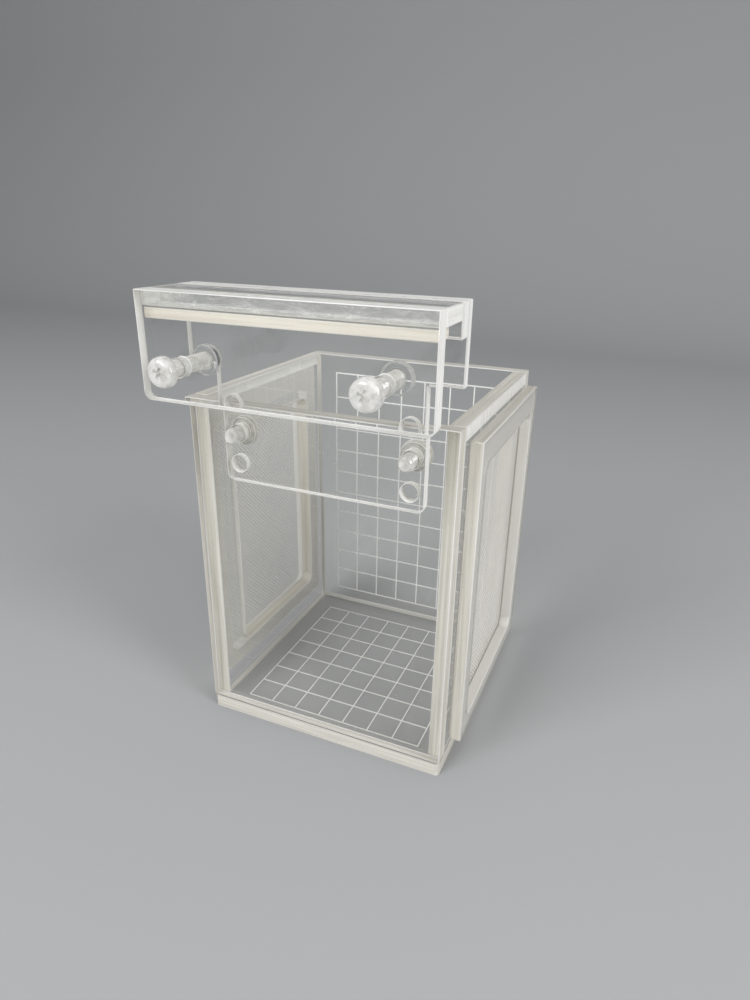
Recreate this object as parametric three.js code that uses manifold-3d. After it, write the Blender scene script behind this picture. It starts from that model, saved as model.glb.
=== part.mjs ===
// Fish breeding box: a clear box with net windows, held on a tank's rim by a screw clamp.
// Sizes are in millimetres. X is right, Y runs from front to back and Z is up.
import * as THREE from "three";
import { mergeVertices } from "three/addons/utils/BufferGeometryUtils.js";
import Module from "manifold-3d";

const wasm = await Module();
wasm.setup();

// The box of glued plates
const boxWidth = 91;
const boxDepth = 91;
const boxHeight = 123;
const floorCornerRadius = 1.5;
const plateThickness = 5;
const glueLine = 0.3;

// The measuring grid, engraved in the outer faces of the floor and the back wall
const gridPitch = 10;
const gridCells = 7;
const grooveWidth = 0.5;
const grooveDepth = 0.3;
const backGridLow = 10.3;
const backGridUpperDrops = [18.7, 8.2];

// The windows in the side walls, by the width of wall left around them
const wallWindowSideBorder = 13.2;
const wallWindowLowBorder = 15.7;
const wallWindowTopBorder = 16;
const windowCornerRadius = 3.5;

// The outer frames, set in from the box's outline, and the nets that they hold
const frameSideInset = 6.8;
const frameLowInset = 11.5;
const frameTopInset = 4.5;
const frameThickness = 4;
const frameSideBorder = 6.7;
const frameLowBorder = 5.5;
const frameTopBorder = 8.5;
const netThickness = 0.4;
const netPitch = 6.2;
const netStrand = 0.6;

// The hanger, which sits a little to the right of the box's middle
const hangerOffset = 3.4;
const hangerNarrowing = 5;
const hangerCornerRadius = 2.5;
const rearPlateThickness = 3;
const shoulderWidth = 9.5;
const shoulderRise = 12;
const rearPlateHeadHeight = 22.7;
const tongueEnd = 6.1;
const rearStripThickness = 5;
const rearStripHeight = 9.3;
const topBarThickness = 4.6;
const topBarDepth = 12.5;
const lowerStripThickness = 3;
const lowerStripDepth = 6;
const lowerStripInsets = { left: 0.4, right: 1.3 };
const frontPlateThickness = 4.8;
const frontPlateHeight = 30;

// The rows of holes that set how high the hanger sits
const heightHoleInset = 4.8;
const heightHolePitch = 9.9;
const heightHoleCount = 3;
const heightHoleDiameter = 5.4;
const middleHoleDrop = 9.3;

// The screws, all of one thread and head
const shaftDiameter = 5;
const tipChamfer = 0.5;
const headDiameter = 8.5;
const headThickness = 3.2;
const headDome = 1;
const recessLength = 4.4;
const recessWidth = 1;
const recessDepth = 1.6;
const runningClearance = 0.08;
const contactGap = 0.3;

// The two clamp screws, each in its own place in the front plate
const clampScrewLength = 20;
const clampScrewInsets = { left: 12.3, right: 14.1 };
const clampScrewRises = { left: 10, right: 11.2 };
const clampStandoffs = { left: 4.7, right: 7.1 };

// The two height screws, whose heads lie in wide holes in the front wall
const heightScrewLength = 10;
const counterboreDiameter = 9.1;
const counterboreDepth = 3;

// The round pads on the tips of the clamp screws
const padDiameter = 9;
const padThickness = 2.4;
const padSocketDepth = 1.5;

// Every cutting body runs past the faces it cuts by this much
const overrun = 1;

// Fineness of the round shapes
const roundSteps = 24;
const cornerSteps = 5;

// Faces of the parts that are stacked from the front wall towards the front
const frontFace = -boxDepth / 2;
const backFace = boxDepth / 2;
const sideFace = boxWidth / 2;
const wallLow = plateThickness + glueLine;
const rearPlateBack = frontFace - glueLine;
const rearPlateFront = rearPlateBack - rearPlateThickness;
const rearStripBack = rearPlateFront - glueLine;
const rearStripFront = rearStripBack - rearStripThickness;
const topBarBack = rearStripFront - glueLine;
const topBarFront = topBarBack - topBarDepth;
const frontPlateBack = topBarFront - glueLine;
const frontPlateFront = frontPlateBack - frontPlateThickness;

// The hanger hangs from the middle holes, which sit just below the box's top edge
const hangerWidth = boxWidth - hangerNarrowing;
const tongueWidth = hangerWidth - 2 * shoulderWidth;
const heightHoleReach = tongueWidth / 2 - heightHoleInset;
const middleHoleHeight = boxHeight - middleHoleDrop;
const holeRowReach = (heightHoleCount - 1) * heightHolePitch / 2;
const tongueLow = middleHoleHeight - holeRowReach - tongueEnd;
const shoulderHeight = middleHoleHeight + holeRowReach + shoulderRise;
const hangerTop = shoulderHeight + rearPlateHeadHeight;
const rearStripLow = hangerTop - rearStripHeight;
const frontPlateLow = hangerTop - frontPlateHeight;

// The origin lies in the middle of the whole object's outline
const longestStandoff = Math.max(clampStandoffs.left, clampStandoffs.right);
const frontmost = frontPlateFront - longestStandoff - headThickness;
const depthShift = -(frontmost + backFace) / 2;

const xAxis = new THREE.Vector3(1, 0, 0);
const yAxis = new THREE.Vector3(0, 1, 0);
const zAxis = new THREE.Vector3(0, 0, 1);
const sides = { left: -1, right: 1 };
const squareCorners = [0, 0, 0, 0];

// Adds a rectangle's outline to a shape or hole, each corner with its own radius.
// The radii go round from the corner at the low left.
function traceRectangle(path, left, right, low, high, radii) {
  const [lowLeft, lowRight, highRight, highLeft] = radii;
  path.moveTo(left + lowLeft, low);
  path.lineTo(right - lowRight, low);
  roundCorner(path, right - lowRight, low + lowRight, lowRight, -Math.PI / 2);
  path.lineTo(right, high - highRight);
  roundCorner(path, right - highRight, high - highRight, highRight, 0);
  path.lineTo(left + highLeft, high);
  roundCorner(path, left + highLeft, high - highLeft, highLeft, Math.PI / 2);
  path.lineTo(left, low + lowLeft);
  roundCorner(path, left + lowLeft, low + lowLeft, lowLeft, Math.PI);
  return path;
}

// A quarter turn about the given middle, or nothing where the corner is square
function roundCorner(path, middleX, middleY, radius, startAngle) {
  if (radius > 0) {
    path.absarc(middleX, middleY, radius, startAngle, startAngle + Math.PI / 2, false);
  }
}

function rectangle(left, right, low, high, radii = squareCorners) {
  return traceRectangle(new THREE.Shape(), left, right, low, high, radii);
}

function windowHole(edges, radius) {
  const { left, right, low, high } = edges;
  const radii = [radius, radius, radius, radius];
  return traceRectangle(new THREE.Path(), left, right, low, high, radii);
}

function roundHole(x, z, radius) {
  return new THREE.Path().absarc(x, z, radius, 0, Math.PI * 2, false);
}

function thicken(shape, thickness, curveSegments) {
  return new THREE.ExtrudeGeometry(shape, {
    depth: thickness,
    bevelEnabled: false,
    curveSegments,
  });
}

// Turns a flat piece drawn in X and Y so that it stands facing the front
function standFacingFront(geometry, back) {
  const turn = new THREE.Matrix4().makeBasis(xAxis, zAxis, yAxis.clone().negate());
  geometry.applyMatrix4(turn);
  geometry.translate(0, back, 0);
  return geometry;
}

// Turns a flat piece drawn in X and Y so that it stands facing a side
function standFacingSide(geometry, low) {
  geometry.applyMatrix4(new THREE.Matrix4().makeBasis(yAxis, zAxis, xAxis));
  geometry.translate(low, 0, 0);
  return geometry;
}

function block(left, right, front, back, low, high) {
  const geometry = new THREE.BoxGeometry(right - left, back - front, high - low);
  geometry.translate((left + right) / 2, (front + back) / 2, (low + high) / 2);
  return geometry;
}

// A round body about the Y axis from a list of radius and Y pairs
function turned(profile) {
  const points = profile.map(([radius, y]) => new THREE.Vector2(radius, y));
  return new THREE.LatheGeometry(points, roundSteps);
}

function toSolid(geometry) {
  const bare = geometry.clone();
  bare.deleteAttribute("normal");
  bare.deleteAttribute("uv");
  const merged = mergeVertices(bare);
  return new wasm.Manifold(new wasm.Mesh({
    numProp: 3,
    vertProperties: new Float32Array(merged.attributes.position.array),
    triVerts: new Uint32Array(merged.index.array),
  }));
}

function toGeometry(solid) {
  const mesh = solid.getMesh();
  const geometry = new THREE.BufferGeometry();
  geometry.setAttribute("position", new THREE.BufferAttribute(mesh.vertProperties, 3));
  geometry.setIndex(new THREE.BufferAttribute(mesh.triVerts, 1));
  return geometry;
}

function cut(geometry, cutters) {
  let tool = toSolid(cutters[0]);
  for (const cutter of cutters.slice(1)) {
    tool = tool.add(toSolid(cutter));
  }
  return toGeometry(toSolid(geometry).subtract(tool));
}

const part = new THREE.Group();
part.name = "fish_breeding_box";

function addPiece(name, geometry, color, roughness, metalness = 0) {
  geometry.translate(0, depthShift, 0);
  geometry.computeVertexNormals();
  const material = new THREE.MeshStandardMaterial({ color, roughness, metalness });
  material.name = name;
  const mesh = new THREE.Mesh(geometry, material);
  mesh.name = name;
  part.add(mesh);
}

const clearColour = 0xdfe3dc;
const clearRoughness = 0.12;
const netColour = 0xf4f3ec;
const netRoughness = 0.8;
const screwColour = 0xe9e4d4;
const screwRoughness = 0.35;

// A flat sheet with a hole in each cell between its lines, which are as wide as given
function lattice(edges, thickness, columnLines, rowLines, lineWidth) {
  const { left, right, low, high } = edges;
  const half = lineWidth / 2;
  const cells = [];
  columnLines.slice(1).forEach((cellRight, column) => {
    const x = [columnLines[column] + half, cellRight - half];
    rowLines.slice(1).forEach((cellHigh, row) => {
      const y = [rowLines[row] + half, cellHigh - half];
      cells.push(block(...x, ...y, -overrun, thickness + overrun));
    });
  });
  return cut(block(left, right, low, high, 0, thickness), cells);
}

// The lines of an engraved grid as a body that is sunk into the plate by the groove's depth
function grooveBody(columnLines, rowLines) {
  const half = grooveWidth / 2;
  const edges = {
    left: columnLines[0] - half,
    right: columnLines.at(-1) + half,
    low: rowLines[0] - half,
    high: rowLines.at(-1) + half,
  };
  return lattice(edges, grooveDepth + overrun, columnLines, rowLines, grooveWidth);
}

// Evenly spaced lines about zero, one more than the cells between them
function evenLines(cellCount, pitch) {
  const lines = [];
  for (let line = 0; line <= cellCount; line += 1) {
    lines.push((line - cellCount / 2) * pitch);
  }
  return lines;
}

// Floor: the full outline of the box, with the grid in its underside
const gridLines = evenLines(gridCells, gridPitch);
const floorGrooves = grooveBody(gridLines, gridLines);
floorGrooves.translate(0, 0, -overrun);
const floorCorners = Array(4).fill(floorCornerRadius);
const floorShape = rectangle(-sideFace, sideFace, frontFace, backFace, floorCorners);
const floorBlank = thicken(floorShape, plateThickness, cornerSteps);
addPiece("floor_plate", cut(floorBlank, [floorGrooves]), clearColour, clearRoughness);

// Back wall: the grid in its outer face, with two more lines above the even rows
const upperLines = backGridUpperDrops.map((drop) => boxHeight - drop);
const evenRows = Math.floor((upperLines[0] - backGridLow) / gridPitch) - 1;
const lineHeights = [];
for (let row = 0; row <= evenRows; row += 1) {
  lineHeights.push(backGridLow + row * gridPitch);
}
lineHeights.push(...upperLines);
const backGrooves = standFacingFront(grooveBody(gridLines, lineHeights), backFace + overrun);
const innerBackFace = backFace - plateThickness;
const backBlank = block(-sideFace, sideFace, innerBackFace, backFace, wallLow, boxHeight);
addPiece("back_wall", cut(backBlank, [backGrooves]), clearColour, clearRoughness);

// Front wall: two stepped holes, whose wide ends take the heads of the height screws
const innerFrontFace = frontFace + plateThickness;
const counterboreFace = innerFrontFace - counterboreDepth;
const fitRadius = shaftDiameter / 2 + runningClearance;

function steppedHole(x) {
  const cutter = turned([
    [0, frontFace - overrun],
    [fitRadius, frontFace - overrun],
    [fitRadius, counterboreFace],
    [counterboreDiameter / 2, counterboreFace],
    [counterboreDiameter / 2, innerFrontFace + overrun],
    [0, innerFrontFace + overrun],
  ]);
  cutter.translate(x, 0, middleHoleHeight);
  return cutter;
}

function heightHoleX(side) {
  return hangerOffset + side * heightHoleReach;
}

const frontBlank = block(-sideFace, sideFace, frontFace, innerFrontFace, wallLow, boxHeight);
const frontHoles = Object.values(sides).map((side) => steppedHole(heightHoleX(side)));
addPiece("front_wall", cut(frontBlank, frontHoles), clearColour, clearRoughness);

// Side walls, nets and outer frames, the same on both sides
const innerSideFace = sideFace - plateThickness;
const wallFront = innerFrontFace + glueLine;
const wallBack = innerBackFace - glueLine;
const netNear = sideFace + glueLine;
const netFar = netNear + netThickness;
const frameNear = netFar + glueLine;
const frameFar = frameNear + frameThickness;

function besideBox(flatPiece, near, far, side) {
  return standFacingSide(flatPiece, Math.min(side * near, side * far));
}

// A flat plate with one window whose corners are rounded
function windowPlate(edges, thickness, windowEdges) {
  const shape = rectangle(edges.left, edges.right, edges.low, edges.high);
  shape.holes.push(windowHole(windowEdges, windowCornerRadius));
  return thicken(shape, thickness, cornerSteps);
}

function insideBorders(edges, sideBorder, lowBorder, topBorder) {
  return {
    left: edges.left + sideBorder,
    right: edges.right - sideBorder,
    low: edges.low + lowBorder,
    high: edges.high - topBorder,
  };
}

const wallEdges = { left: wallFront, right: wallBack, low: wallLow, high: boxHeight };
const wallWindow = insideBorders(
  wallEdges,
  wallWindowSideBorder,
  wallWindowLowBorder,
  wallWindowTopBorder,
);
const boxEdges = { left: frontFace, right: backFace, low: 0, high: boxHeight };
const frameEdges = insideBorders(boxEdges, frameSideInset, frameLowInset, frameTopInset);
const frameWindow = insideBorders(
  frameEdges,
  frameSideBorder,
  frameLowBorder,
  frameTopBorder,
);

// The net's gaps fill the frame's window in whole cells about its middle
const netColumns = Math.round((frameWindow.right - frameWindow.left) / netPitch);
const netRows = Math.round((frameWindow.high - frameWindow.low) / netPitch);
const netMiddle = (frameWindow.low + frameWindow.high) / 2;
const netColumnLines = evenLines(netColumns, netPitch);
const netRowLines = evenLines(netRows, netPitch).map((height) => height + netMiddle);

for (const [name, side] of Object.entries(sides)) {
  const wallBlank = windowPlate(wallEdges, plateThickness, wallWindow);
  const wall = besideBox(wallBlank, innerSideFace, sideFace, side);
  addPiece(`${name}_wall`, wall, clearColour, clearRoughness);

  const netSheet = lattice(frameEdges, netThickness, netColumnLines, netRowLines, netStrand);
  const net = besideBox(netSheet, netNear, netFar, side);
  addPiece(`${name}_net`, net, netColour, netRoughness);

  const frameBlank = windowPlate(frameEdges, frameThickness, frameWindow);
  const frame = besideBox(frameBlank, frameNear, frameFar, side);
  addPiece(`${name}_frame`, frame, clearColour, clearRoughness);
}

// Hanger: a T-shaped rear plate whose tongue hangs down in front of the box
const hangerLeft = hangerOffset - hangerWidth / 2;
const hangerRight = hangerOffset + hangerWidth / 2;

function rearPlateShape() {
  const tongueLeft = hangerOffset - tongueWidth / 2;
  const tongueRight = hangerOffset + tongueWidth / 2;
  const radius = hangerCornerRadius;
  const middle = tongueLow + radius;
  const shape = new THREE.Shape();
  shape.moveTo(tongueLeft + radius, tongueLow);
  shape.lineTo(tongueRight - radius, tongueLow);
  roundCorner(shape, tongueRight - radius, middle, radius, -Math.PI / 2);
  shape.lineTo(tongueRight, shoulderHeight);
  shape.lineTo(hangerRight, shoulderHeight);
  shape.lineTo(hangerRight, hangerTop);
  shape.lineTo(hangerLeft, hangerTop);
  shape.lineTo(hangerLeft, shoulderHeight);
  shape.lineTo(tongueLeft, shoulderHeight);
  shape.lineTo(tongueLeft, middle);
  roundCorner(shape, tongueLeft + radius, middle, radius, Math.PI);
  return shape;
}

const rearShape = rearPlateShape();
for (const side of Object.values(sides)) {
  for (let hole = 0; hole < heightHoleCount; hole += 1) {
    const step = hole - (heightHoleCount - 1) / 2;
    const z = middleHoleHeight + step * heightHolePitch;
    rearShape.holes.push(roundHole(heightHoleX(side), z, heightHoleDiameter / 2));
  }
}
const rearBlank = thicken(rearShape, rearPlateThickness, roundSteps / 2);
const rearPlate = standFacingFront(rearBlank, rearPlateBack);
addPiece("hanger_rear_plate", rearPlate, clearColour, clearRoughness);

// Upper strip of the hanger behind the top bar
const rearStrip = block(
  hangerLeft,
  hangerRight,
  rearStripFront,
  rearStripBack,
  rearStripLow,
  hangerTop,
);
addPiece("hanger_rear_strip", rearStrip, clearColour, clearRoughness);

// Top bar, which spans the rim of the tank, and the shorter strip below its front edge
const topBarLow = hangerTop - topBarThickness;
const topBar = block(hangerLeft, hangerRight, topBarFront, topBarBack, topBarLow, hangerTop);
addPiece("hanger_top_bar", topBar, clearColour, clearRoughness);

const lowerStripHigh = topBarLow - glueLine;
const lowerStrip = block(
  hangerLeft + lowerStripInsets.left,
  hangerRight - lowerStripInsets.right,
  topBarFront,
  topBarFront + lowerStripDepth,
  lowerStripHigh - lowerStripThickness,
  lowerStripHigh,
);
addPiece("hanger_lower_strip", lowerStrip, clearColour, clearRoughness);

// Front plate of the hanger with its two holes for the clamp screws
function clampScrewX(name) {
  const side = sides[name];
  return hangerOffset + side * (hangerWidth / 2 - clampScrewInsets[name]);
}

function clampScrewZ(name) {
  return frontPlateLow + clampScrewRises[name];
}

const lowCorners = [hangerCornerRadius, hangerCornerRadius, 0, 0];
const frontShape = rectangle(hangerLeft, hangerRight, frontPlateLow, hangerTop, lowCorners);
for (const name of Object.keys(sides)) {
  frontShape.holes.push(roundHole(clampScrewX(name), clampScrewZ(name), fitRadius));
}
const frontBlankPlate = thicken(frontShape, frontPlateThickness, roundSteps / 2);
const frontPlate = standFacingFront(frontBlankPlate, frontPlateBack);
addPiece("hanger_front_plate", frontPlate, clearColour, clearRoughness);

// A screw that points along +Y, with the underside of its head at zero and a cross recess
function screw(length) {
  const shaftRadius = shaftDiameter / 2;
  const headRadius = headDiameter / 2;
  const body = turned([
    [0, -headThickness],
    [headRadius - headDome, -headThickness],
    [headRadius, headDome - headThickness],
    [headRadius, 0],
    [shaftRadius, 0],
    [shaftRadius, length - tipChamfer],
    [shaftRadius - tipChamfer, length],
    [0, length],
  ]);
  const front = -headThickness - overrun;
  const back = recessDepth - headThickness;
  const long = recessLength / 2;
  const narrow = recessWidth / 2;
  const across = block(-long, long, front, back, -narrow, narrow);
  const upright = block(-narrow, narrow, front, back, -long, long);
  return cut(body, [across, upright]);
}

// Clamp screws: they pass through the front plate, and their tips turn in the pads
for (const name of Object.keys(sides)) {
  const x = clampScrewX(name);
  const z = clampScrewZ(name);
  const headFace = frontPlateFront - clampStandoffs[name];
  const tip = headFace + clampScrewLength;
  const clampScrew = screw(clampScrewLength);
  clampScrew.translate(x, headFace, z);
  addPiece(`clamp_screw_${name}`, clampScrew, screwColour, screwRoughness);

  const pad = turned([
    [0, padSocketDepth],
    [fitRadius, padSocketDepth],
    [fitRadius, 0],
    [padDiameter / 2, 0],
    [padDiameter / 2, padThickness],
    [0, padThickness],
  ]);
  pad.translate(x, tip + contactGap - padSocketDepth, z);
  addPiece(`clamp_pad_${name}`, pad, clearColour, clearRoughness);
}

// Height screws: their heads lie in the front wall and their tips carry the tongue
for (const [name, side] of Object.entries(sides)) {
  const heightScrew = screw(heightScrewLength);
  heightScrew.rotateZ(Math.PI);
  heightScrew.translate(heightHoleX(side), counterboreFace + contactGap, middleHoleHeight);
  addPiece(`height_screw_${name}`, heightScrew, screwColour, screwRoughness);
}

export default part;
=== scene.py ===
# %% [markdown]
# # A clear fish breeding box
# The real object is a small aquarium accessory: an open box of clear acrylic plates with a
# net window in each side, held on the tank's rim by a clear hanger with nylon screws.
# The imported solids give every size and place. This file gives the looks: polished faces,
# sawn cream edges, engraved lines, real threads and real woven net.

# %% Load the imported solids
import math

import bmesh
import bpy
from mathutils import Matrix, Vector


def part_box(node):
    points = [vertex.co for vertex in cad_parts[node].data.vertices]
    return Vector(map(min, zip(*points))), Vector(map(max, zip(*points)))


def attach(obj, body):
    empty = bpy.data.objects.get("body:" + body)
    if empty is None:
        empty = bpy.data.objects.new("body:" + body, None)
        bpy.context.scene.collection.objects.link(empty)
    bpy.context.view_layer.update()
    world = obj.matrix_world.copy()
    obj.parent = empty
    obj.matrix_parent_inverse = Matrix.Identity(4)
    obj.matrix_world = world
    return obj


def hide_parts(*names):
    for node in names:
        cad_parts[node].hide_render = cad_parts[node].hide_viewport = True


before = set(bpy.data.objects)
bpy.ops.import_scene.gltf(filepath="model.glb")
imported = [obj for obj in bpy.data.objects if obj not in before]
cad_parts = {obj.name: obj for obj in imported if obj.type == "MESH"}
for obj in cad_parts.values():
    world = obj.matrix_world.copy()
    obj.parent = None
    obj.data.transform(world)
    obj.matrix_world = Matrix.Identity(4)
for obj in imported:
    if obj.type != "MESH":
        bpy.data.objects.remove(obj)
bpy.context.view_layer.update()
bpy.ops.object.select_all(action="DESELECT")
print("solids loaded:", len(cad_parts))

# %% [markdown]
# ## Camera
# The camera's place, direction, small turn and focal length were fitted to the engraved
# 10 mm grid and the plate edges, so the render can be laid over the photograph.
# Azimuth turns it round the upright axis, elevation tips it down, and roll turns the
# picture.

# %% Place the camera
PHOTO_HEIGHT = 1000
FOCAL_PIXELS = 682.96
SENSOR = 36.0
CAMERA_PLACE = (0.09392, -0.20162, 0.17752)
AZIMUTH = math.radians(22.90)
ELEVATION = math.radians(22.70)
ROLL = math.radians(1.02)
camera_data = bpy.data.cameras.new("photo_camera")
camera_data.sensor_fit = "VERTICAL"
camera_data.sensor_height = SENSOR
camera_data.sensor_width = SENSOR
camera_data.lens = FOCAL_PIXELS / PHOTO_HEIGHT * SENSOR
camera_data.clip_start = 0.01
camera = bpy.data.objects.new("photo_camera", camera_data)
bpy.context.scene.collection.objects.link(camera)
camera.matrix_world = (
    Matrix.Translation(CAMERA_PLACE)
    @ Matrix.Rotation(AZIMUTH, 4, "Z")
    @ Matrix.Rotation(math.pi / 2 - ELEVATION, 4, "X")
    @ Matrix.Rotation(ROLL, 4, "Z")
)
bpy.context.scene.camera = camera
print("camera lens in mm:", round(camera_data.lens, 2))

# %% [markdown]
# ## Helpers for editing
# Every new piece is selected, edited and finished in the same few ways, so those steps are
# small functions. Selection is done in code by place or direction, because there is no
# mouse.

# %% Selection and edit helpers
def make_active(piece):
    """Selects only this object and makes it the one that operators act on."""
    if bpy.context.object and bpy.context.object.mode != "OBJECT":
        bpy.ops.object.mode_set(mode="OBJECT")
    bpy.ops.object.select_all(action="DESELECT")
    piece.select_set(True)
    bpy.context.view_layer.objects.active = piece


def start_edit(piece, mode="FACE"):
    """Opens the mesh for editing with nothing selected."""
    make_active(piece)
    bpy.ops.object.mode_set(mode="EDIT")
    bpy.ops.mesh.select_mode(type=mode)
    bpy.ops.mesh.select_all(action="DESELECT")


def end_edit():
    bpy.ops.object.mode_set(mode="OBJECT")


def select_edges(piece, wanted):
    """Selects the edges of the open mesh for which wanted(edge) is true."""
    mesh = bmesh.from_edit_mesh(piece.data)
    for edge in mesh.edges:
        edge.select_set(bool(wanted(edge)))
    mesh.select_flush_mode()
    bmesh.update_edit_mesh(piece.data)


def apply_modifiers(piece):
    make_active(piece)
    for modifier in list(piece.modifiers):
        bpy.ops.object.modifier_apply(modifier=modifier.name)


def triangles(piece):
    return sum(len(face.vertices) - 2 for face in piece.data.polygons)


# %% [markdown]
# ## Shader building blocks
# Cast acrylic shows fine scratches and dust on its faces, and its sawn edges show the marks
# of the blade. Both effects come back in several materials, so each is a node group
# that puts out only values and is placed in each material with its own settings.

# %% Node helpers
MIX_FIRST_VALUE, MIX_SECOND_VALUE = 2, 3
MIX_FIRST_COLOUR, MIX_SECOND_COLOUR, MIX_COLOUR_OUT = 6, 7, 2


def new_material(name):
    """A material with an empty node tree, and that tree."""
    material = bpy.data.materials.new(name)
    material.use_nodes = True
    material.node_tree.nodes.clear()
    return material, material.node_tree


def add_node(tree, kind, values=None, fed=None, **settings):
    """A node with its settings, its inputs' values and the outputs that feed them."""
    node = tree.nodes.new(kind)
    for key, value in settings.items():
        setattr(node, key, value)
    for key, value in (values or {}).items():
        node.inputs[key].default_value = value
    for key, output in (fed or {}).items():
        tree.links.new(output, node.inputs[key])
    return node


def object_place(tree):
    """The object's own coordinates, in metres."""
    return add_node(tree, "ShaderNodeTexCoord").outputs["Object"]


def edge_run(tree):
    """How far along and how far across a cut a point lies, in metres."""
    return add_node(tree, "ShaderNodeUVMap", uv_map="edge_run").outputs[0]


def add_noise(tree, place, scale, detail=2.0, roughness=0.5, distortion=0.0):
    values = {
        "Scale": scale,
        "Detail": detail,
        "Roughness": roughness,
        "Distortion": distortion,
    }
    return add_node(tree, "ShaderNodeTexNoise", values, {"Vector": place}).outputs[0]


def calculate(tree, operation, first, second, **settings):
    """The output of a Math node that two outputs feed."""
    fed = {0: first, 1: second}
    return add_node(
        tree, "ShaderNodeMath", fed=fed, operation=operation, **settings
    ).outputs[0]


def map_range(tree, value, start, end, low=0.0, high=1.0):
    """A value that goes evenly from low at start to high at end, and is level beyond."""
    values = {"From Min": start, "From Max": end, "To Min": low, "To Max": high}
    return add_node(tree, "ShaderNodeMapRange", values, {"Value": value}).outputs[0]


def mix_tones(tree, factor, first, second):
    """A colour between two tones."""
    values = {MIX_FIRST_COLOUR: first, MIX_SECOND_COLOUR: second}
    mix = add_node(tree, "ShaderNodeMix", values, {0: factor}, data_type="RGBA")
    return mix.outputs[MIX_COLOUR_OUT]


def add_bump(tree, height, strength, distance):
    values = {"Strength": strength, "Distance": distance}
    return add_node(tree, "ShaderNodeBump", values, {"Height": height}).outputs[0]


def add_principled(tree, values, fed):
    return add_node(tree, "ShaderNodeBsdfPrincipled", values, fed).outputs[0]


def new_group(name, inputs, outputs):
    """A shader node group with named value inputs and outputs, and its two end nodes."""
    group = bpy.data.node_groups.new(name, "ShaderNodeTree")
    for label, value in inputs.items():
        kind = "NodeSocketVector" if value is None else "NodeSocketFloat"
        socket = group.interface.new_socket(name=label, in_out="INPUT", socket_type=kind)
        if value is not None:
            socket.default_value = value
    for label in outputs:
        group.interface.new_socket(
            name=label, in_out="OUTPUT", socket_type="NodeSocketFloat"
        )
    return group, group.nodes.new("NodeGroupInput"), group.nodes.new("NodeGroupOutput")


def place_group(tree, group, place, values):
    """A group placed in a material, with its values and fed with a place."""
    return add_node(
        tree, "ShaderNodeGroup", values, {"Place": place}, node_tree=group
    )


# %% [markdown]
# ### Fine wear on polished faces
# Two stretched noises crossed at an angle give hairline scratches, and a small Voronoi
# pattern gives specks of dust that lie in patches. The group puts out a Scratches and a
# Specks mask.

# %% Wear group
wear_group, wear_in, wear_out = new_group(
    "polished_wear", {"Place": None, "Amount": 0.5}, ["Scratches", "Specks"]
)
wear_place = wear_in.outputs["Place"]


def hairlines(turn, stretch):
    """A mask of thin lines: a stretched noise cut to a narrow band."""
    values = {"Rotation": turn, "Scale": stretch}
    mapping = add_node(wear_group, "ShaderNodeMapping", values, {"Vector": wear_place})
    noise = add_noise(wear_group, mapping.outputs[0], scale=90.0, detail=3.0)
    return map_range(wear_group, noise, start=0.66, end=0.74)


first_lines = hairlines(turn=(0.3, 0.5, 0.9), stretch=(1.0, 14.0, 6.0))
second_lines = hairlines(turn=(0.9, 0.2, -0.6), stretch=(12.0, 1.0, 9.0))
all_lines = calculate(wear_group, "MAXIMUM", first_lines, second_lines)
scratches = calculate(wear_group, "MULTIPLY", all_lines, wear_in.outputs["Amount"])
wear_group.links.new(scratches, wear_out.inputs["Scratches"])

dust = add_node(
    wear_group, "ShaderNodeTexVoronoi", {"Scale": 420.0}, {"Vector": wear_place}
)
dust_grains = map_range(wear_group, dust.outputs["Distance"], start=0.10, end=0.06)
patch_noise = add_noise(wear_group, wear_place, scale=60.0)
dust_patches = map_range(wear_group, patch_noise, start=0.58, end=0.68)
specks = calculate(wear_group, "MULTIPLY", dust_grains, dust_patches)
wear_group.links.new(specks, wear_out.inputs["Specks"])
print("wear group nodes:", len(wear_group.nodes))

# %% [markdown]
# ### Saw marks on cut edges
# A sawn acrylic edge is cream and matt, with a sandy grain and fine streaks that run along
# the cut. Each plate therefore gets a UV map that says how far along and how far across its
# edge a point lies. Fine streaks and broad bands are noise cells stretched along it, and
# the grain is an even noise. The group puts out all three as Streaks, and a slow Cloud.

# %% Saw marks group
saw_group, saw_in, saw_out = new_group(
    "saw_marks", {"Place": None, "Contrast": 1.0}, ["Streaks", "Cloud"]
)
saw_place = saw_in.outputs["Place"]


def stretched_noise(stretch, detail):
    """A noise with this many cells a metre along the cut and across it."""
    mapping = add_node(
        saw_group, "ShaderNodeMapping", {"Scale": stretch}, {"Vector": saw_place}
    )
    return add_noise(
        saw_group, mapping.outputs[0], scale=1.0, detail=detail, roughness=0.65
    )


streak_noise = stretched_noise(stretch=(30.0, 1100.0, 1.0), detail=3.0)
grain_noise = stretched_noise(stretch=(2200.0, 3200.0, 1.0), detail=2.0)
grained_streaks = add_node(
    saw_group,
    "ShaderNodeMix",
    {"Factor": 0.45},
    {MIX_FIRST_VALUE: streak_noise, MIX_SECOND_VALUE: grain_noise},
    data_type="FLOAT",
)
fine_marks = map_range(saw_group, grained_streaks.outputs[0], start=0.38, end=0.66)
broad_noise = stretched_noise(stretch=(8.0, 420.0, 1.0), detail=1.0)
broad_marks = map_range(saw_group, broad_noise, start=0.42, end=0.62, high=0.55)
all_marks = calculate(saw_group, "ADD", fine_marks, broad_marks)
streaks = calculate(
    saw_group, "MULTIPLY", all_marks, saw_in.outputs["Contrast"], use_clamp=True
)
saw_group.links.new(streaks, saw_out.inputs["Streaks"])
cloud_noise = stretched_noise(stretch=(70.0, 300.0, 1.0), detail=3.0)
saw_group.links.new(cloud_noise, saw_out.inputs["Cloud"])
print("saw group nodes:", len(saw_group.nodes))

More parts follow.
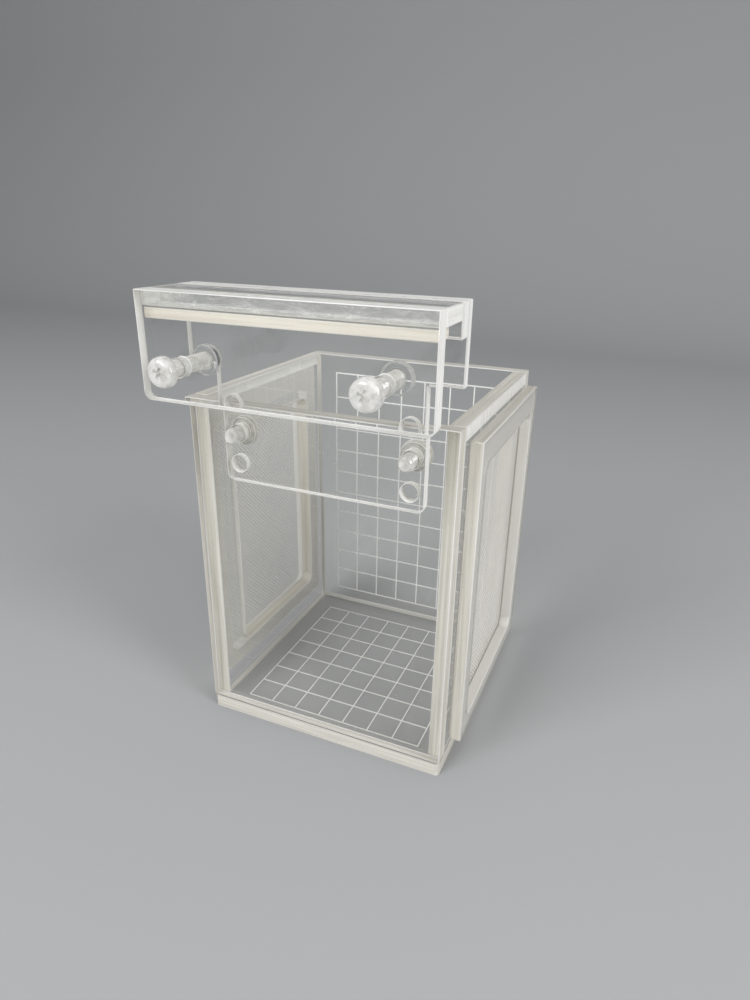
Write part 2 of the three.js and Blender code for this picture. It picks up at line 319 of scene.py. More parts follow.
# %% [markdown]
# ## Clear acrylic
# The polished faces are glass-like: full transmission at the refractive index of acrylic.
# A Light Path switch lets lamp light pass straight through, so the box casts a pale
# shadow as the real one does, instead of the dark one of a solid block.

# %% Let light through a shader
ACRYLIC_INDEX = 1.49


def let_lamps_through(tree, shader, tint):
    """Mixes in a Transparent shader for rays from lamps and from matt surfaces."""
    path = add_node(tree, "ShaderNodeLightPath")
    passes = calculate(
        tree, "MAXIMUM", path.outputs["Is Shadow Ray"], path.outputs["Is Diffuse Ray"]
    )
    clear = add_node(tree, "ShaderNodeBsdfTransparent", {"Color": tint})
    fed = {0: passes, 1: shader, 2: clear.outputs[0]}
    mix = add_node(tree, "ShaderNodeMixShader", fed=fed)
    add_node(tree, "ShaderNodeOutputMaterial", fed={"Surface": mix.outputs[0]})


# %% Clear face material
def clear_plastic(name, tint, wear):
    """Polished acrylic whose scratches and dust are duller than the rest."""
    material, tree = new_material(name)
    marks = place_group(tree, wear_group, object_place(tree), {"Amount": wear})
    dull = calculate(
        tree, "MAXIMUM", marks.outputs["Scratches"], marks.outputs["Specks"]
    )
    gloss = map_range(tree, dull, start=0.0, end=1.0, low=0.015, high=0.45)
    shader = add_principled(
        tree,
        {"Base Color": tint, "IOR": ACRYLIC_INDEX, "Transmission Weight": 1.0},
        {"Roughness": gloss},
    )
    let_lamps_through(tree, shader, tint=(0.965, 0.965, 0.96, 1.0))
    return material


clear_face = clear_plastic("clear_face", tint=(0.982, 0.984, 0.978, 1.0), wear=0.1)
clear_pad = clear_plastic("clear_pad", tint=(0.985, 0.985, 0.98, 1.0), wear=0.2)
print("clear materials:", clear_face.name, clear_pad.name)

# %% [markdown]
# ## Frosted edges and engraved lines
# Light that travels inside the plates leaves at their rough edges, so these glow cream.
# The edge is part matt, part see-through, with its tone and bump from the saw marks.

# %% Frosted material
def frosted(name, pale, dark, gloss_span, transmission, contrast, bump_height):
    """A cut face: the streaks darken it, the cloud changes its gloss."""
    material, tree = new_material(name)
    marks = place_group(tree, saw_group, edge_run(tree), {"Contrast": contrast})
    streaks = marks.outputs["Streaks"]
    low, high = gloss_span
    fed = {
        "Base Color": mix_tones(tree, streaks, pale, dark),
        "Roughness": map_range(tree, marks.outputs["Cloud"], 0.3, 0.7, low, high),
        "Normal": add_bump(tree, streaks, strength=0.3, distance=bump_height),
    }
    values = {"IOR": ACRYLIC_INDEX, "Transmission Weight": transmission}
    shader = add_principled(tree, values, fed)
    let_lamps_through(tree, shader, tint=(0.55, 0.54, 0.50, 1.0))
    return material


sawn_edge = frosted(
    "sawn_edge",
    pale=(0.87, 0.84, 0.77, 1.0),
    dark=(0.55, 0.52, 0.46, 1.0),
    gloss_span=(0.35, 0.6),
    transmission=0.2,
    contrast=0.8,
    bump_height=0.00003,
)
cut_edge = frosted(
    "laser_cut_edge",
    pale=(0.98, 0.97, 0.94, 1.0),
    dark=(0.84, 0.83, 0.79, 1.0),
    gloss_span=(0.2, 0.4),
    transmission=0.05,
    contrast=0.8,
    bump_height=0.00005,
)
strip_edge = frosted(
    "cream_strip_edge",
    pale=(0.89, 0.85, 0.75, 1.0),
    dark=(0.69, 0.64, 0.55, 1.0),
    gloss_span=(0.35, 0.55),
    transmission=0.1,
    contrast=0.8,
    bump_height=0.00005,
)
# The filed bevels: frosted, and painted pale as a painted highlight line along each edge.
filed_bevel_highlight = frosted(
    "filed_bevel_highlight",
    pale=(0.90, 0.89, 0.87, 1.0),
    dark=(0.74, 0.73, 0.70, 1.0),
    gloss_span=(0.3, 0.5),
    transmission=0.3,
    contrast=0.8,
    bump_height=0.00002,
)
window_cut = frosted(
    "window_cut",
    pale=(0.86, 0.84, 0.80, 1.0),
    dark=(0.78, 0.76, 0.71, 1.0),
    gloss_span=(0.4, 0.6),
    transmission=0.1,
    contrast=0.7,
    bump_height=0.00003,
)
filled_thread = frosted(
    "filled_thread",
    pale=(0.95, 0.945, 0.93, 1.0),
    dark=(0.78, 0.77, 0.74, 1.0),
    gloss_span=(0.15, 0.3),
    transmission=0.3,
    contrast=0.8,
    bump_height=0.00005,
)
engraved = frosted(
    "engraved_line",
    pale=(0.98, 0.98, 0.97, 1.0),
    dark=(0.92, 0.92, 0.91, 1.0),
    gloss_span=(0.5, 0.7),
    transmission=0.0,
    contrast=0.6,
    bump_height=0.00002,
)
print("frosted materials:", sawn_edge.name, cut_edge.name, strip_edge.name)

# %% [markdown]
# ### The glue film
# The top bar is glued in between the plates. The solvent leaves a clear joint with whitish
# streaks and small bubbles, so this face stays see-through, and one noise changes its tone,
# its gloss and its height together.

# %% Glue film material
glue_film, glue_tree = new_material("glue_film")
glue_mapping = add_node(
    glue_tree,
    "ShaderNodeMapping",
    {"Rotation": (0.0, 0.0, 0.6), "Scale": (130.0, 520.0, 1.0)},
    {"Vector": edge_run(glue_tree)},
)
glue_noise = add_noise(
    glue_tree,
    glue_mapping.outputs[0],
    scale=1.0,
    detail=5.0,
    roughness=0.7,
    distortion=1.2,
)
glue_streaks = map_range(glue_tree, glue_noise, start=0.42, end=0.60)
glue_shader = add_principled(
    glue_tree,
    {"IOR": ACRYLIC_INDEX, "Transmission Weight": 0.75},
    {
        "Base Color": mix_tones(
            glue_tree, glue_streaks, (0.74, 0.75, 0.75, 1.0), (0.99, 0.99, 0.97, 1.0)
        ),
        "Roughness": map_range(
            glue_tree, glue_noise, start=0.45, end=0.65, low=0.02, high=0.3
        ),
        "Normal": add_bump(glue_tree, glue_noise, strength=0.5, distance=0.0002),
    },
)
let_lamps_through(glue_tree, glue_shader, tint=(0.85, 0.86, 0.85, 1.0))
print("glue material:", glue_film.name)

# %% [markdown]
# ### The net held in the glue
# The net reaches under the borders of the outer frames and is glued to them, so its weave
# shows through the clear border right to the frame's outline. Two crossed sets of wave
# bands at the net's own pitch draw that weave on the frame's glued face.

# %% Bonded net material
NET_PITCH = 0.00085
# A Wave texture of scale 1 has a band every 2 pi / 20 metres.
WAVE_SCALE = 2 * math.pi / 20 / NET_PITCH
bonded_net, bond_tree = new_material("bonded_net")
bond_place = object_place(bond_tree)
bands = [
    add_node(
        bond_tree,
        "ShaderNodeTexWave",
        {"Scale": WAVE_SCALE, "Distortion": 0.4},
        {"Vector": bond_place},
        bands_direction=direction,
    )
    for direction in ("Y", "Z")
]
weave = calculate(bond_tree, "MAXIMUM", *(band.outputs["Fac"] for band in bands))
threads = map_range(bond_tree, weave, start=0.7, end=0.95)
bond_tone = mix_tones(
    bond_tree, threads, (0.68, 0.65, 0.59, 1.0), (0.93, 0.91, 0.86, 1.0)
)
bond_shader = add_principled(
    bond_tree,
    {"Roughness": 0.5, "IOR": ACRYLIC_INDEX, "Transmission Weight": 0.3},
    {"Base Color": bond_tone},
)
let_lamps_through(bond_tree, bond_shader, tint=(0.6, 0.6, 0.59, 1.0))
print("bonded net material:", bonded_net.name)

# %% [markdown]
# ## The plates
# The plates' outlines, windows and holes are exact in the imported solids. A clean copy of
# each is merged, its loose triangles become whole faces, and its long edges get the small
# bevel that a file leaves on real acrylic, because that line of light is what shows where
# a clear plate ends. Faces across the thickness are polished, the bevels are frosted and
# painted pale as a highlight line, and all others are cut.

# %% Copy a solid as a clean mesh
MERGE_GAP = 0.000004
SHARP_ANGLE = math.radians(35)


def clean_copy(node, name):
    """A new object with the solid's mesh, its corners merged and its flat faces whole."""
    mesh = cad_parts[node].data.copy()
    mesh.materials.clear()
    piece = bpy.data.objects.new(name, mesh)
    bpy.context.scene.collection.objects.link(piece)
    make_active(piece)
    if mesh.has_custom_normals:
        bpy.ops.mesh.customdata_custom_splitnormals_clear()
    start_edit(piece)
    bpy.ops.mesh.select_all(action="SELECT")
    bpy.ops.mesh.remove_doubles(threshold=MERGE_GAP)
    bpy.ops.mesh.dissolve_limited(angle_limit=math.radians(1))
    end_edit()
    return piece


def is_sharp(edge):
    """Whether two faces meet at a clear angle at this edge of the open mesh."""
    return len(edge.link_faces) == 2 and edge.calc_face_angle() > SHARP_ANGLE


# %% A map of the edge's run
# A polished face lies square to the thickness and has no run of its own, so it takes a
# fixed one. The shifts give each direction of face its own part of the pattern.
SHORTEST_RUN = 0.2
PATTERN_SHIFTS = (0.7, 1.3, 1.9)


def along_axis(axis):
    return Vector([1.0 if a == axis else 0.0 for a in range(3)])


def map_edge_run(piece, axis):
    """UV in metres: u runs along a cut face and v across the plate's thickness."""
    layer = piece.data.uv_layers.new(name="edge_run")
    for face in piece.data.polygons:
        run = along_axis(axis).cross(face.normal)
        if run.length < SHORTEST_RUN:
            run = along_axis((axis + 1) % 3)
        run.normalize()
        offset = sum(part * shift for part, shift in zip(face.normal, PATTERN_SHIFTS))
        for corner in face.loop_indices:
            point = piece.data.vertices[piece.data.loops[corner].vertex_index].co
            layer.data[corner].uv = (point.dot(run) + offset, point[axis] + offset)


# %% Bevel the long edges and give the faces their finish
EDGE_BEVEL = 0.0003
ENGRAVING_REACH = 0.0005
TOUCHING = 0.000005
BORDER = 0.001
SMOOTH_ANGLE = math.radians(30)
# How much of a face's normal lies along an axis: more than FLAT is a face square to it,
# less than SIDEWAYS a cut, and what lies between a bevel. Above EXACT it is shaded flat.
FLAT = 0.97
SIDEWAYS = 0.05
EXACT = 0.9999


def rim_distance(point, low, high, rim_axes):
    """How far a point lies inside the plate's outline."""
    return min(min(point[a] - low[a], high[a] - point[a]) for a in rim_axes)


FINISHES = {
    "face": clear_face,
    "edge": sawn_edge,
    "corner": filed_bevel_highlight,
    "groove": engraved,
    "glue": glue_film,
    "net": bonded_net,
    "cream": strip_edge,
    "cut": cut_edge,
    "thread": filled_thread,
    "window": window_cut,
}
SLOTS = list(FINISHES)


def plate(node, name, axis, edge="edge", engraving=None, special=None, divide=None):
    """A plate whose thickness runs along axis, 0, 1 or 2, dressed from its solid.

    edge is the finish of its cuts, engraving the place along axis of its engraved face,
    special a function that changes the finish of some faces, and divide a place and a
    direction at which its faces are divided in two.
    """
    piece = clean_copy(node, name)
    low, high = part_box(node)
    rim_axes = [a for a in range(3) if a != axis]

    def wanted(edge_line):
        return is_sharp(edge_line) and (
            engraving is None
            or all(
                rim_distance(v.co, low, high, rim_axes) < TOUCHING
                for v in edge_line.verts
            )
        )

    start_edit(piece, "EDGE")
    select_edges(piece, wanted)
    bpy.ops.mesh.bevel(
        offset=EDGE_BEVEL, segments=2, profile=0.5, affect="EDGES", loop_slide=False
    )
    if divide is not None:
        bpy.ops.mesh.select_all(action="SELECT")
        bpy.ops.mesh.bisect(plane_co=divide[0], plane_no=divide[1])
    end_edit()
    make_active(piece)
    bpy.ops.object.shade_smooth_by_angle(angle=SMOOTH_ANGLE)
    for material in FINISHES.values():
        piece.data.materials.append(material)
    for face in piece.data.polygons:
        across = abs(face.normal[axis])
        inside = rim_distance(face.center, low, high, rim_axes) > BORDER
        finish = "face" if across > FLAT else (edge if across < SIDEWAYS else "corner")
        if engraving is not None and inside:
            depth = abs(face.center[axis] - engraving)
            if TOUCHING < depth < ENGRAVING_REACH:
                finish = "groove"
        if special is not None:
            finish = special(face, inside, finish)
        face.material_index = SLOTS.index(finish)
        if max(abs(part) for part in face.normal) > EXACT:
            face.use_smooth = False
    map_edge_run(piece, axis)
    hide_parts(node)
    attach(piece, "box")
    return piece


# %% [markdown]
# ### Which face has which finish
# Not every cut of a plate is the same. The front cut of each window, where it catches the
# light, is painted with the paler cut finish as a painted highlight; the others are cream
# in the walls, and as pale as the net in the outer frames. Above the frame, the strip of
# the wall's outer face also takes the pale cut finish. The clamp screws fill their threaded
# holes, so these look like nylon. The top bar has glue on both of its long sides, and the
# cream strip glued under its front part shows through it.

# %% Special faces
FRAME_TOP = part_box("left_frame")[1].z
STRIP_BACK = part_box("hanger_lower_strip")[1].y
FACING_BACK = 0.9


def wall_finish(face, inside, finish):
    """The cuts of a wall's window, and the strip of its outer face above the frame."""
    # The strip of the outer face above the frame takes the pale cut finish.
    if face.normal.x * face.center.x > 0 and face.center.z > FRAME_TOP:
        return "cut" if finish == "face" else finish
    if not inside or abs(face.normal.x) > SIDEWAYS:
        return finish
    # Painted highlight: the window's front cut, whose face looks back, takes the paler cut
    # finish; the other cuts are cream.
    return "cut" if face.normal.y > FACING_BACK else "cream"


def frame_finish(face, inside, finish):
    """The glued face of an outer frame, and the cuts of its window."""
    if abs(face.normal.x) > FLAT:
        return "net" if face.normal.x * face.center.x < 0 else finish
    if not inside:
        return finish
    # Painted highlight: the window's front cut takes the paler cut finish.
    return "cut" if face.normal.y > FACING_BACK else "window"


def threaded_finish(face, inside, finish):
    """The threaded holes that the clamp screws fill."""
    return "thread" if inside and abs(face.normal.y) < FLAT else finish


def bar_finish(face, inside, finish):
    """The top bar's glued sides, and the part of its underside above the strip."""
    if abs(face.normal.y) > FLAT:
        return "glue"
    if face.normal.z < -FLAT and face.center.y < STRIP_BACK:
        return "cream"
    return finish


# %% Dress the box's plates
X, Y, Z = 0, 1, 2
FLOOR_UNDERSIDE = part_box("floor_plate")[0].z
BACK_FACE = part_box("back_wall")[1].y
window_wall = {
    "axis": X,
    "special": wall_finish,
    "divide": ((0.0, 0.0, FRAME_TOP), (0.0, 0.0, 1.0)),
}
plates = [
    plate("floor_plate", "floor_sheet", Z, engraving=FLOOR_UNDERSIDE),
    plate("back_wall", "back_sheet", Y, engraving=BACK_FACE),
    plate("front_wall", "front_sheet", Y),
    plate("left_wall", "left_sheet", **window_wall),
    plate("right_wall", "right_sheet", **window_wall),
    plate("left_frame", "left_window_frame", X, special=frame_finish),
    plate("right_frame", "right_window_frame", X, special=frame_finish),
]
print("box plates:", [(p.name, triangles(p)) for p in plates])

# %% Dress the hanger's plates
above_strip = ((0.0, STRIP_BACK, 0.0), (0.0, 1.0, 0.0))
hanger_plates = [
    plate("hanger_rear_plate", "tongue_sheet", Y, edge="cut"),
    plate("hanger_rear_strip", "rear_strip_sheet", Y, edge="cut"),
    plate(
        "hanger_top_bar",
        "top_bar_sheet",
        Z,
        edge="cut",
        special=bar_finish,
        divide=above_strip,
    ),
    plate("hanger_lower_strip", "rim_strip_sheet", Z, edge="cream"),
    plate(
        "hanger_front_plate", "clamp_sheet", Y, edge="cut", special=threaded_finish
    ),
]
print("hanger plates:", [(p.name, triangles(p)) for p in hanger_plates])

# %% [markdown]
# ## The nets
# The windows are closed by a fine white nylon net. Real plain weave is modelled: two
# threads each way cross over and under in one small cell, and that cell is arrayed up
# and along the sheet. The shine and the see-through look then come from real gaps.

# %% Net material
NYLON_INDEX = 1.53
net_material, net_tree = new_material("net_thread")
net_noise = add_noise(net_tree, object_place(net_tree), scale=60.0, detail=3.0)
net_tone = mix_tones(
    net_tree, net_noise, (0.76, 0.74, 0.70, 1.0), (0.88, 0.86, 0.81, 1.0)
)
net_shader = add_principled(
    net_tree,
    {"Roughness": 0.42, "IOR": NYLON_INDEX, "Transmission Weight": 0.25},
    {"Base Color": net_tone},
)
add_node(net_tree, "ShaderNodeOutputMaterial", fed={"Surface": net_shader})
print("net material:", net_material.name)

# %% One woven cell
THREAD_WIDTH = 0.00030
THREAD_THICKNESS = 0.00020


def add_thread(start, along, phase):
    """One thread over two crossings, as a four-sided tube, in the open mesh.

    phase is 1 where it starts on the +X side of the sheet and -1 on the other side.
    """
    swing = Vector((THREAD_THICKNESS * phase, 0.0, 0.0))
    first = Vector(start) + swing / 2
    if along.y > 0:
        facing = (math.pi / 2, 0.0, 0.0)
        size = (THREAD_THICKNESS, 1.0, THREAD_WIDTH)
    else:
        facing = (0.0, 0.0, 0.0)
        size = (THREAD_THICKNESS, THREAD_WIDTH, 1.0)
    bpy.ops.mesh.select_all(action="DESELECT")
    bpy.ops.mesh.primitive_circle_add(
        vertices=4, radius=0.5, location=first, rotation=facing
    )
    bpy.ops.transform.resize(value=size, center_override=first)
    for move in (-swing, swing):
        bpy.ops.mesh.extrude_region_move(
            TRANSFORM_OT_translate={"value": along * NET_PITCH + move}
        )


def net_cell(name):
    """Two threads each way, whose phases are opposite so that they pass each other."""
    mesh = bpy.data.meshes.new(name)
    piece = bpy.data.objects.new(name, mesh)
    bpy.context.scene.collection.objects.link(piece)
    start_edit(piece, "EDGE")
    half = NET_PITCH / 2
    for across, phase in ((half, 1), (half + NET_PITCH, -1)):
        add_thread((0.0, 0.0, across), Vector((0, 1, 0)), phase)
    for across, phase in ((half, -1), (half + NET_PITCH, 1)):
        add_thread((0.0, across, 0.0), Vector((0, 0, 1)), phase)
    bpy.ops.mesh.select_all(action="SELECT")
    bpy.ops.mesh.normals_make_consistent(inside=False)
    end_edit()
    return piece


# %% Array the cell into a sheet
def net_sheet(node, name):
    """As many whole cells as the solid net holds, centred on it."""
    low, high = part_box(node)
    cell = 2 * NET_PITCH
    columns = int((high.y - low.y) / cell)
    rows = int((high.z - low.z) / cell)
    piece = net_cell(name)
    for label, count, step in (
        ("columns", columns, (0.0, cell, 0.0)),
        ("rows", rows, (0.0, 0.0, cell)),
    ):
        array = piece.modifiers.new(label, "ARRAY")
        array.count = count
        array.use_relative_offset = False
        array.use_constant_offset = True
        array.constant_offset_displace = step
        array.use_merge_vertices = True
        array.merge_threshold = 0.00001
    apply_modifiers(piece)
    middle = (low + high) / 2
    span = Vector((0.0, columns * cell, rows * cell))
    piece.data.transform(Matrix.Translation(middle - span / 2))
    start_edit(piece, "EDGE")
    bpy.ops.mesh.select_non_manifold()
    bpy.ops.mesh.fill_holes(sides=4)
    bpy.ops.mesh.select_all(action="SELECT")
    bpy.ops.mesh.normals_make_consistent(inside=False)
    end_edit()
    piece.data.materials.append(net_material)
    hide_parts(node)
    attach(piece, "box")
    return piece


nets = [
    net_sheet("left_net", "left_woven_net"),
    net_sheet("right_net", "right_woven_net"),
]
print("nets:", [(n.name, triangles(n)) for n in nets])

# %% [markdown]
# ## The nylon screws
# Two long clamp screws and two short height screws, all M5 and of natural nylon with a
# cross recess in a pan head. The shaft carries a real right-hand thread: rings of points
# follow the screw's outline, and on the threaded part a point's radius depends on its angle
# and height.

# %% Nylon material
nylon, nylon_tree = new_material("natural_nylon")
nylon_noise = add_noise(nylon_tree, object_place(nylon_tree), scale=480.0, detail=3.0)
nylon_patches = map_range(nylon_tree, nylon_noise, start=0.4, end=0.65)
nylon_shader = add_principled(
    nylon_tree,
    {"Roughness": 0.14, "IOR": NYLON_INDEX, "Transmission Weight": 0.55},
    {
        "Base Color": mix_tones(
            nylon_tree, nylon_patches, (0.95, 0.94, 0.92, 1.0), (0.68, 0.67, 0.64, 1.0)
        ),
        "Normal": add_bump(nylon_tree, nylon_noise, strength=0.5, distance=0.0002),
    },
)
let_lamps_through(nylon_tree, nylon_shader, tint=(0.75, 0.75, 0.73, 1.0))
print("nylon material:", nylon.name)

# %% The screw's outline
SIDES = 32
STEPS_A_TURN = 6
SHAFT = 0.0025
HEAD = 0.00425
HEAD_THICK = 0.0032
PITCH = 0.0008
THREAD_DEPTH = 0.0004
THREAD_START = 0.0006
THREAD_END = 0.0007
CREST_RELIEF = 0.00004
# The head's dome in shares of its thickness and radius, the neck below it as heights and
# radii, and the tip as how far before the end and how far inside the shaft each ring is
HEAD_OUTLINE = ((1.0, 0.62), (0.95, 0.76), (0.85, 0.88), (0.66, 0.96), (0.45, 1.0))
NECK_OUTLINE = (
    (-0.0003, HEAD),
    (0.0, HEAD - 0.0003),
    (0.0, SHAFT + 0.0002),
    (0.0002, SHAFT - 0.0001),
)
TIP_OUTLINE = ((0.0005, 0.0002), (0.0, 0.0007))


def screw_rings(length):
    """Height, radius and thread share of each ring, from the head's top to the tip."""
    rings = [(-HEAD_THICK * up, HEAD * out, 0.0) for up, out in HEAD_OUTLINE]
    rings += [(height, radius, 0.0) for height, radius in NECK_OUTLINE]
    step = PITCH / STEPS_A_TURN
    count = int((length - THREAD_START - THREAD_END) / step)
    for ring in range(count + 1):
        height = THREAD_START + ring * step
        ends = min(height - THREAD_START, length - THREAD_START - height)
        share = max(0.0, min(1.0, ends / PITCH))
        rings.append((height, SHAFT - CREST_RELIEF, share))
    rings += [(length - back, SHAFT - inside, 0.0) for back, inside in TIP_OUTLINE]
    return rings


# %% Turn the outline into a screw
SCREW_SMOOTH_ANGLE = math.radians(40)


def screw(node, name, body, pointing):
    """A screw on the solid's own axis; pointing is 1 for a tip at +Y and -1 for -Y."""
    low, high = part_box(node)
    centre = (low + high) / 2
    rings = screw_rings(high.y - low.y - HEAD_THICK)
    bpy.ops.object.select_all(action="DESELECT")
    bpy.ops.mesh.primitive_grid_add(
        x_subdivisions=SIDES, y_subdivisions=len(rings) - 1, size=1
    )
    piece = bpy.context.object
    piece.name = piece.data.name = name
    grid = piece.data
    columns = SIDES + 1
    for index, vertex in enumerate(grid.vertices):
        row, column = divmod(index, columns)
        angle = 2 * math.pi * column / SIDES
        height, radius, share = rings[row]
        turn = (height / PITCH + angle / (2 * math.pi)) % 1.0
        radius -= share * THREAD_DEPTH * abs(2 * turn - 1)
        vertex.co = (radius * math.cos(angle), height, radius * math.sin(angle))
    start_edit(piece, "EDGE")
    bpy.ops.mesh.select_all(action="SELECT")
    bpy.ops.mesh.remove_doubles(threshold=0.000001)
    bpy.ops.mesh.select_all(action="DESELECT")
    bpy.ops.mesh.select_non_manifold()
    bpy.ops.mesh.edge_face_add()
    bpy.ops.mesh.select_all(action="SELECT")
    bpy.ops.mesh.normals_make_consistent(inside=False)
    end_edit()
    head_face = low.y + HEAD_THICK
    if pointing < 0:
        head_face = high.y - HEAD_THICK
        piece.data.transform(Matrix.Rotation(math.pi, 4, "Z"))
    cut_recess(piece, pointing)
    piece.data.transform(Matrix.Translation((centre.x, head_face, centre.z)))
    piece.data.materials.append(nylon)
    make_active(piece)
    bpy.ops.object.shade_smooth_by_angle(angle=SCREW_SMOOTH_ANGLE)
    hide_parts(node)
    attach(piece, body)
    return piece


# %% [markdown]
# ### The cross recess
# The driver's recess is a cross that narrows as it goes in. Two crossed wedges, made from
# a cube whose inner end is scaled down, are taken away from the head.

# %% Cut the recess
RECESS_SIZE = (0.005, 0.0032, 0.0013)
RECESS_TAPER = (0.4, 1.0, 0.45)
RECESS_TURN = 0.4


def recess_wedge(long_axis_turn, pointing):
    """One arm pair of the cross, a wedge that is narrower at its inner end."""
    bpy.ops.object.select_all(action="DESELECT")
    outer = -pointing * HEAD_THICK
    bpy.ops.mesh.primitive_cube_add(size=1, location=(0.0, outer, 0.0))
    wedge = bpy.context.object
    start_edit(wedge, "VERT")
    bpy.ops.mesh.select_all(action="SELECT")
    bpy.ops.transform.resize(value=RECESS_SIZE)
    bpy.ops.mesh.select_all(action="DESELECT")
    mesh = bmesh.from_edit_mesh(wedge.data)
    for vertex in mesh.verts:
        vertex.select_set(vertex.co.y * pointing > 0)
    mesh.select_flush_mode()
    bmesh.update_edit_mesh(wedge.data)
    bpy.ops.transform.resize(value=RECESS_TAPER)
    end_edit()
    wedge.rotation_euler = (0.0, long_axis_turn, 0.0)
    return wedge


def cut_recess(piece, pointing):
    for turn in (RECESS_TURN, RECESS_TURN + math.pi / 2):
        wedge = recess_wedge(turn, pointing)
        bpy.context.view_layer.update()
        cutter = piece.modifiers.new("recess", "BOOLEAN")
        cutter.operation = "DIFFERENCE"
        cutter.solver = "EXACT"
        cutter.object = wedge
        apply_modifiers(piece)
        bpy.data.objects.remove(wedge)


# %% Make the four screws
screws = [
    screw("clamp_screw_left", "clamp_nylon_left", "left_clamp_screw", 1),
    screw("clamp_screw_right", "clamp_nylon_right", "right_clamp_screw", 1),
    screw("height_screw_left", "height_nylon_left", "left_height_screw", -1),
    screw("height_screw_right", "height_nylon_right", "right_height_screw", -1),
]
print("screws:", [(s.name, triangles(s)) for s in screws])

# %% [markdown]
# ## The clamp pads
# A small clear disc turns on the tip of each clamp screw and presses on the glass. It is
# a clean copy of its solid with rounded rims. Its flat faces are polished, and its turned
# rim is left satin, so it shows as a soft pale ring.

# %% Pad rim material
# A low refractive index keeps the satin rim from darkening.
RIM_INDEX = 1.2
pad_rim, rim_tree = new_material("pad_rim")
rim_noise = add_noise(rim_tree, object_place(rim_tree), scale=900.0, detail=3.0)
rim_gloss = map_range(rim_tree, rim_noise, start=0.3, end=0.7, low=0.25, high=0.45)
rim_shader = add_principled(
    rim_tree,
    {
        "Base Color": (0.99, 0.99, 0.98, 1.0),
        "IOR": RIM_INDEX,
        "Transmission Weight": 0.9,
    },
    {
        "Roughness": rim_gloss,
        "Normal": add_bump(rim_tree, rim_noise, strength=0.3, distance=0.00003),
    },
)
let_lamps_through(rim_tree, rim_shader, tint=(0.85, 0.85, 0.84, 1.0))
print("rim material:", pad_rim.name)

# %% Dress the pads
PAD_BEVEL = 0.00035


def pad(node, name, body):
    piece = clean_copy(node, name)
    start_edit(piece, "EDGE")
    select_edges(piece, is_sharp)
    bpy.ops.mesh.bevel(offset=PAD_BEVEL, segments=3, profile=0.5, affect="EDGES")
    end_edit()
    piece.data.materials.append(clear_pad)
    piece.data.materials.append(pad_rim)
    make_active(piece)
    bpy.ops.object.shade_smooth_by_angle(angle=SHARP_ANGLE)
    for face in piece.data.polygons:
        flat = abs(face.normal.y) > EXACT
        face.material_index = 0 if flat else 1
        if flat:
            face.use_smooth = False
    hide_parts(node)
    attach(piece, body)
    return piece


pads = [
    pad("clamp_pad_left", "pad_disc_left", "left_pad"),
    pad("clamp_pad_right", "pad_disc_right", "right_pad"),
]
print("pads:", [(p.name, triangles(p)) for p in pads])

# %% [markdown]
# ## Studio
# The floor runs up behind the object in one smooth sweep, so no horizon shows through
# the clear walls. It is a plain pale grey, a little darker than the frosted edges.

# %% Floor and backdrop
FLOOR_COLOUR = (0.42, 0.425, 0.43, 1.0)
FLOOR_SIZE = 12.0
FLOOR_MIDDLE = (0.0, -5.2, 0.0)
SWEEP_RADIUS = 0.5
SWEEP_STEPS = 12
BACKDROP_HEIGHT = 2.0


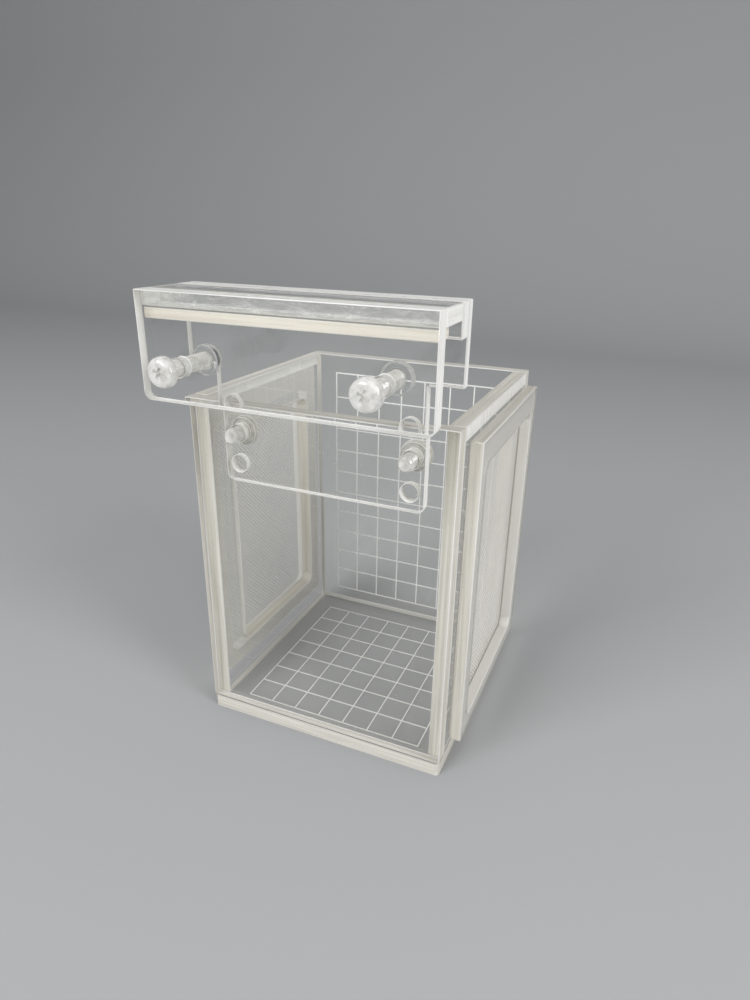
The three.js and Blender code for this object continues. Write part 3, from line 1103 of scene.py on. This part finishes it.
def sweep():
    """A square floor whose back edge is drawn up through a quarter turn."""
    bpy.ops.object.select_all(action="DESELECT")
    bpy.ops.mesh.primitive_plane_add(size=FLOOR_SIZE, location=FLOOR_MIDDLE)
    floor = bpy.context.object
    floor.name = "studio_sweep"
    start_edit(floor, "EDGE")
    select_edges(floor, lambda edge: all(v.co.y > 0 for v in edge.verts))
    for step in range(SWEEP_STEPS):
        before = math.pi / 2 * step / SWEEP_STEPS
        after = math.pi / 2 * (step + 1) / SWEEP_STEPS
        move = Vector(
            (
                0.0,
                SWEEP_RADIUS * (math.sin(after) - math.sin(before)),
                SWEEP_RADIUS * (math.cos(before) - math.cos(after)),
            )
        )
        bpy.ops.mesh.extrude_region_move(TRANSFORM_OT_translate={"value": move})
    bpy.ops.mesh.extrude_region_move(
        TRANSFORM_OT_translate={"value": (0.0, 0.0, BACKDROP_HEIGHT)}
    )
    end_edit()
    make_active(floor)
    bpy.ops.object.shade_smooth()
    return floor


studio = sweep()
stage_material, stage_tree = new_material("pale_backdrop")
stage_shader = add_principled(
    stage_tree,
    {"Base Color": FLOOR_COLOUR, "Roughness": 0.9, "Specular IOR Level": 0.1},
    {},
)
add_node(stage_tree, "ShaderNodeOutputMaterial", fed={"Surface": stage_shader})
studio.data.materials.append(stage_material)
print("backdrop triangles:", triangles(studio))

# %% [markdown]
# ## Light
# Soft light from the whole room and two large lamps. The lamp at the upper left gives the
# long highlights along the bevels, and the one at the right keeps the near side clear.

# %% World and lamps
LAMP_TARGET = (0.0, 0.0, 0.08)
world = bpy.data.worlds.new("room_light")
bpy.context.scene.world = world
world.use_nodes = True
background = world.node_tree.nodes["Background"]
background.inputs["Color"].default_value = (0.97, 0.98, 1.0, 1.0)
background.inputs["Strength"].default_value = 0.45


def area_lamp(name, place, size, power):
    """A rectangular lamp that points at the middle of the object; its power is in watts."""
    data = bpy.data.lights.new(name, "AREA")
    data.shape = "RECTANGLE"
    data.size, data.size_y = size
    data.energy = power
    lamp = bpy.data.objects.new(name, data)
    bpy.context.scene.collection.objects.link(lamp)
    lamp.location = place
    direction = Vector(LAMP_TARGET) - Vector(place)
    lamp.rotation_euler = direction.to_track_quat("-Z", "Y").to_euler()
    return lamp


lamps = [
    area_lamp("key_lamp", place=(-0.45, -0.95, 0.65), size=(0.6, 0.6), power=10.0),
    area_lamp("side_lamp", place=(0.95, -0.3, 0.55), size=(0.4, 0.7), power=8.0),
]
print("lamps:", [lamp.name for lamp in lamps])

# %% [markdown]
# ## Finish
# Many clear walls stand behind each other, so light needs more bounces than usual to get
# through them. Rare bright paths between those walls would leave sparks, so light that has
# bounced is clamped.

scene = bpy.context.scene
scene.view_settings.view_transform = "Standard"
scene.cycles.max_bounces = 28
scene.cycles.transmission_bounces = 28
scene.cycles.transparent_max_bounces = 40
scene.cycles.sample_clamp_indirect = 1.5
